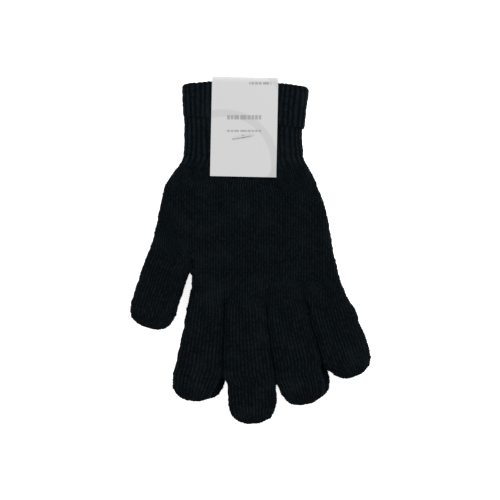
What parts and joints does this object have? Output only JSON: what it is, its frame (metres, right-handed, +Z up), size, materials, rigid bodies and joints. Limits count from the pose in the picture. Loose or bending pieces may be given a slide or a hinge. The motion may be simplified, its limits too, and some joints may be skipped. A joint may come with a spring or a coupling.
{
  "type": "knitted touchscreen gloves",
  "caption": "Pair of thin dark knitted stretch gloves with ribbed cuffs and conductive fingertips, laid one on the other under a folded pale card and a clear pin.",
  "frame": {"origin": "centre of the pair's outline, on the surface that it lies on", "axes": "+X across the hand from thumb to little finger, +Y from fingertips to cuffs, +Z up through the pair to the card's face"},
  "size_m": [0.1404, 0.205, 0.019],
  "materials": {
    "plain_knit": "plain jersey knit, near-black blue",
    "rib_knit": "one-by-one rib knit, near-black blue",
    "touch_knit": "conductive yarn jersey, near-black blue",
    "elastic": "covered elastic thread",
    "card": "matt coated card, soft grey bands",
    "nylon": "clear nylon"
  },
  "bodies": {
    "pair_cuffs": {"header_card": "card", "tag_pin": "nylon", "front_cuff_rib": "rib_knit", "front_cuff_band": "rib_knit", "front_cuff_elastic": "elastic", "front_wrist": "plain_knit", "back_cuff_rib": "rib_knit", "back_cuff_band": "rib_knit", "back_cuff_elastic": "elastic", "back_wrist": "plain_knit"},
    "front_hand": {"front_palm": "plain_knit"},
    "back_hand": {"back_palm": "plain_knit"},
    "front_thumb": {"front_thumb_tube": "plain_knit", "front_thumb_tip": "touch_knit"},
    "front_index": {"front_index_tube": "plain_knit", "front_index_tip": "touch_knit"},
    "front_middle": {"front_middle_tube": "plain_knit", "front_middle_tip": "touch_knit"},
    "front_ring": {"front_ring_tube": "plain_knit", "front_ring_tip": "touch_knit"},
    "front_little": {"front_little_tube": "plain_knit", "front_little_tip": "touch_knit"},
    "back_thumb": {"back_thumb_tube": "plain_knit", "back_thumb_tip": "touch_knit"},
    "back_index": {"back_index_tube": "plain_knit", "back_index_tip": "touch_knit"},
    "back_middle": {"back_middle_tube": "plain_knit", "back_middle_tip": "touch_knit"},
    "back_ring": {"back_ring_tube": "plain_knit", "back_ring_tip": "touch_knit"},
    "back_little": {"back_little_tube": "plain_knit", "back_little_tip": "touch_knit"}
  },
  "joints": [
    {"name": "front_wrist_fold", "type": "hinge", "parent": "pair_cuffs", "child": "front_hand", "pos_m": [-0.0056, 0.0372, 0.013], "axis": [-1, 0, 0], "range_deg": [0, 80]},
    {"name": "front_thumb_fold", "type": "hinge", "parent": "front_hand", "child": "front_thumb", "pos_m": [-0.05033, -0.0134, 0.013], "axis": [-0.9511, 0.309, 0], "range_deg": [0, 80]},
    {"name": "front_index_fold", "type": "hinge", "parent": "front_hand", "child": "front_index", "pos_m": [-0.0265, -0.0385, 0.013], "axis": [-1, 0, 0], "range_deg": [0, 90]},
    {"name": "front_middle_fold", "type": "hinge", "parent": "front_hand", "child": "front_middle", "pos_m": [-0.0029, -0.0385, 0.013], "axis": [-1, 0, 0], "range_deg": [0, 90]},
    {"name": "front_ring_fold", "type": "hinge", "parent": "front_hand", "child": "front_ring", "pos_m": [0.0218, -0.0385, 0.013], "axis": [-1, 0, 0], "range_deg": [0, 90]},
    {"name": "front_little_fold", "type": "hinge", "parent": "front_hand", "child": "front_little", "pos_m": [0.0479, -0.0385, 0.013], "axis": [-1, 0, 0], "range_deg": [0, 90]},
    {"name": "back_wrist_fold", "type": "hinge", "parent": "pair_cuffs", "child": "back_hand", "pos_m": [-0.0056, 0.0372, 0.0042], "axis": [1, 0, 0], "range_deg": [0, 80]},
    {"name": "back_thumb_fold", "type": "hinge", "parent": "back_hand", "child": "back_thumb", "pos_m": [-0.05033, -0.0134, 0.0042], "axis": [0.9511, -0.309, 0], "range_deg": [0, 80]},
    {"name": "back_index_fold", "type": "hinge", "parent": "back_hand", "child": "back_index", "pos_m": [-0.0265, -0.0385, 0.0042], "axis": [1, 0, 0], "range_deg": [0, 90]},
    {"name": "back_middle_fold", "type": "hinge", "parent": "back_hand", "child": "back_middle", "pos_m": [-0.0027, -0.0385, 0.0042], "axis": [1, 0, 0], "range_deg": [0, 90]},
    {"name": "back_ring_fold", "type": "hinge", "parent": "back_hand", "child": "back_ring", "pos_m": [0.022, -0.0385, 0.0042], "axis": [1, 0, 0], "range_deg": [0, 90]},
    {"name": "back_little_fold", "type": "hinge", "parent": "back_hand", "child": "back_little", "pos_m": [0.0482, -0.0385, 0.0042], "axis": [1, 0, 0], "range_deg": [0, 90]}
  ]
}
